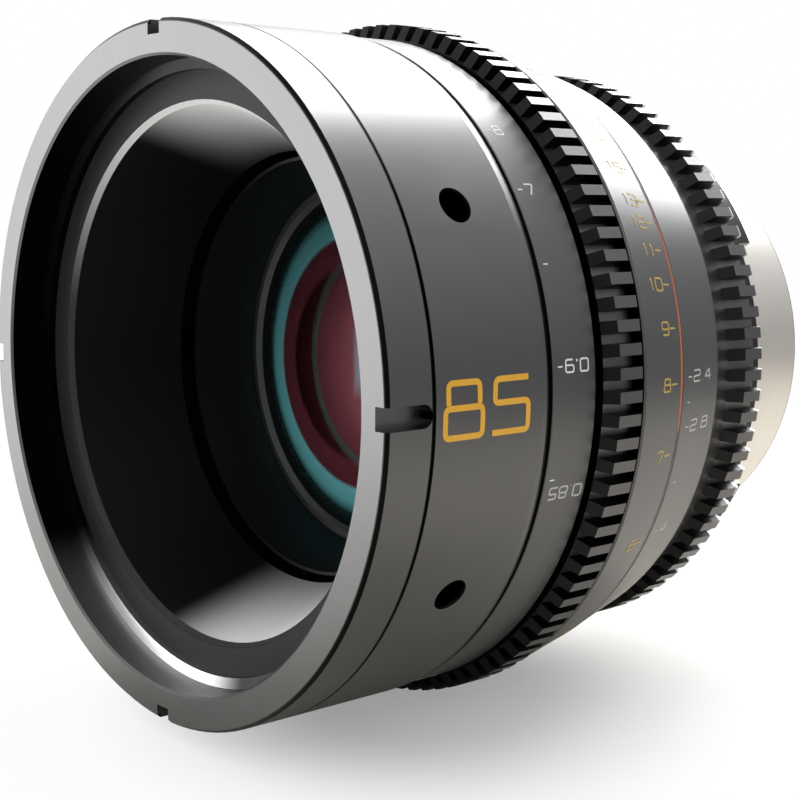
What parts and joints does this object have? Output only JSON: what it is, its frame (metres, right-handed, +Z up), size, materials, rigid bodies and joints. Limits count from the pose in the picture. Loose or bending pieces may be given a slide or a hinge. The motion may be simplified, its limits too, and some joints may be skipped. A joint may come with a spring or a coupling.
{
  "type": "cinema prime lens",
  "caption": "Cinema prime lens with a toothed focus ring, a toothed iris ring, a deep black hood cone in front and a bright lugged mount behind.",
  "frame": {"origin": "on the lens axis, in the plane of the mount seat that meets the camera", "axes": "+Y along the lens axis, from the front towards the camera; +Z up; +X the side that carries the index marks"},
  "size_m": [0.0832, 0.084, 0.0832],
  "materials": {
    "satin_anodised": "satin dark grey anodising, fine bead-blasted",
    "black_anodised": "black anodising",
    "index_paint": "matt orange paint",
    "mount_steel": "satin turned stainless steel",
    "screw_steel": "blackened steel",
    "bronze": "machined bronze",
    "washer_plastic": "black sliding plastic",
    "optical_glass": "polished and coated",
    "blade_steel": "blackened spring steel"
  },
  "bodies": {
    "housing": {"front_ring": "satin_anodised", "front_hood": "black_anodised", "front_barrel": "satin_anodised", "side_screws": "screw_steel", "main_barrel": "black_anodised", "front_washer": "washer_plastic", "focus_stop_pin": "screw_steel", "index_ring": "index_paint", "iris_retainer": "black_anodised", "rear_guide_bush": "bronze", "mount_shim": "mount_steel", "mount_flange": "mount_steel", "mount_screws": "screw_steel", "rear_baffle": "black_anodised"},
    "focus_ring_group": {"focus_ring": "satin_anodised", "cam_sleeve": "bronze", "cam_screws": "screw_steel"},
    "iris_ring_group": {"iris_ring": "satin_anodised", "iris_fork": "black_anodised", "fork_screw": "screw_steel"},
    "lens_group": {"lens_carrier": "black_anodised", "cam_followers": "screw_steel", "front_cell": "black_anodised", "front_retainer": "black_anodised", "element_one": "optical_glass", "front_spacer": "black_anodised", "element_two": "optical_glass", "element_three": "optical_glass", "rear_carrier": "black_anodised", "element_four": "optical_glass", "element_five": "optical_glass", "rear_spacer": "black_anodised", "rear_element": "optical_glass", "rear_retainer": "black_anodised", "iris_plate": "black_anodised", "iris_cover": "black_anodised", "iris_screws": "screw_steel"},
    "iris_cam": {"iris_cam_ring": "bronze", "iris_drive_pin": "screw_steel"},
    "blade_1": {"iris_blade_1": "blade_steel"},
    "blade_2": {"iris_blade_2": "blade_steel"},
    "blade_3": {"iris_blade_3": "blade_steel"},
    "blade_4": {"iris_blade_4": "blade_steel"},
    "blade_5": {"iris_blade_5": "blade_steel"},
    "blade_6": {"iris_blade_6": "blade_steel"},
    "blade_7": {"iris_blade_7": "blade_steel"},
    "blade_8": {"iris_blade_8": "blade_steel"},
    "blade_9": {"iris_blade_9": "blade_steel"}
  },
  "joints": [
    {"name": "focus_turn", "type": "hinge", "parent": "housing", "child": "focus_ring_group", "pos_m": [0, -0.035, 0], "axis": [0, 1, 0], "range_deg": [-180, 75]},
    {"name": "focus_travel", "type": "slide", "parent": "housing", "child": "lens_group", "axis": [0, 1, 0], "range_m": [-0.00765, 0.00319]},
    {"name": "iris_turn", "type": "hinge", "parent": "housing", "child": "iris_ring_group", "pos_m": [0, -0.014, 0], "axis": [0, 1, 0], "range_deg": [-122, 0]},
    {"name": "iris_cam_turn", "type": "hinge", "parent": "lens_group", "child": "iris_cam", "pos_m": [0, -0.0207, 0], "axis": [0, 1, 0], "range_deg": [-122, 0]},
    {"name": "blade_1_turn", "type": "hinge", "parent": "lens_group", "child": "blade_1", "pos_m": [0, -0.0178, 0.0232], "axis": [0, 1, 0], "range_deg": [0, 31.9]},
    {"name": "blade_2_turn", "type": "hinge", "parent": "lens_group", "child": "blade_2", "pos_m": [0.01491, -0.0178, 0.01777], "axis": [0, 1, 0], "range_deg": [0, 31.9]},
    {"name": "blade_3_turn", "type": "hinge", "parent": "lens_group", "child": "blade_3", "pos_m": [0.02285, -0.0178, 0.00403], "axis": [0, 1, 0], "range_deg": [0, 31.9]},
    {"name": "blade_4_turn", "type": "hinge", "parent": "lens_group", "child": "blade_4", "pos_m": [0.02009, -0.0178, -0.0116], "axis": [0, 1, 0], "range_deg": [0, 31.9]},
    {"name": "blade_5_turn", "type": "hinge", "parent": "lens_group", "child": "blade_5", "pos_m": [0.00793, -0.0178, -0.0218], "axis": [0, 1, 0], "range_deg": [0, 31.9]},
    {"name": "blade_6_turn", "type": "hinge", "parent": "lens_group", "child": "blade_6", "pos_m": [-0.00793, -0.0178, -0.0218], "axis": [0, 1, 0], "range_deg": [0, 31.9]},
    {"name": "blade_7_turn", "type": "hinge", "parent": "lens_group", "child": "blade_7", "pos_m": [-0.02009, -0.0178, -0.0116], "axis": [0, 1, 0], "range_deg": [0, 31.9]},
    {"name": "blade_8_turn", "type": "hinge", "parent": "lens_group", "child": "blade_8", "pos_m": [-0.02285, -0.0178, 0.00403], "axis": [0, 1, 0], "range_deg": [0, 31.9]},
    {"name": "blade_9_turn", "type": "hinge", "parent": "lens_group", "child": "blade_9", "pos_m": [-0.01491, -0.0178, 0.01777], "axis": [0, 1, 0], "range_deg": [0, 31.9]}
  ],
  "couplings": [
    {"joint": "focus_travel", "follows": "focus_turn", "m_per_rad": 0.0024351},
    {"joint": "iris_cam_turn", "follows": "iris_turn", "ratio": 1},
    {"joint": "blade_1_turn", "follows": "iris_turn", "ratio": -0.26148},
    {"joint": "blade_2_turn", "follows": "iris_turn", "ratio": -0.26148},
    {"joint": "blade_3_turn", "follows": "iris_turn", "ratio": -0.26148},
    {"joint": "blade_4_turn", "follows": "iris_turn", "ratio": -0.26148},
    {"joint": "blade_5_turn", "follows": "iris_turn", "ratio": -0.26148},
    {"joint": "blade_6_turn", "follows": "iris_turn", "ratio": -0.26148},
    {"joint": "blade_7_turn", "follows": "iris_turn", "ratio": -0.26148},
    {"joint": "blade_8_turn", "follows": "iris_turn", "ratio": -0.26148},
    {"joint": "blade_9_turn", "follows": "iris_turn", "ratio": -0.26148}
  ]
}
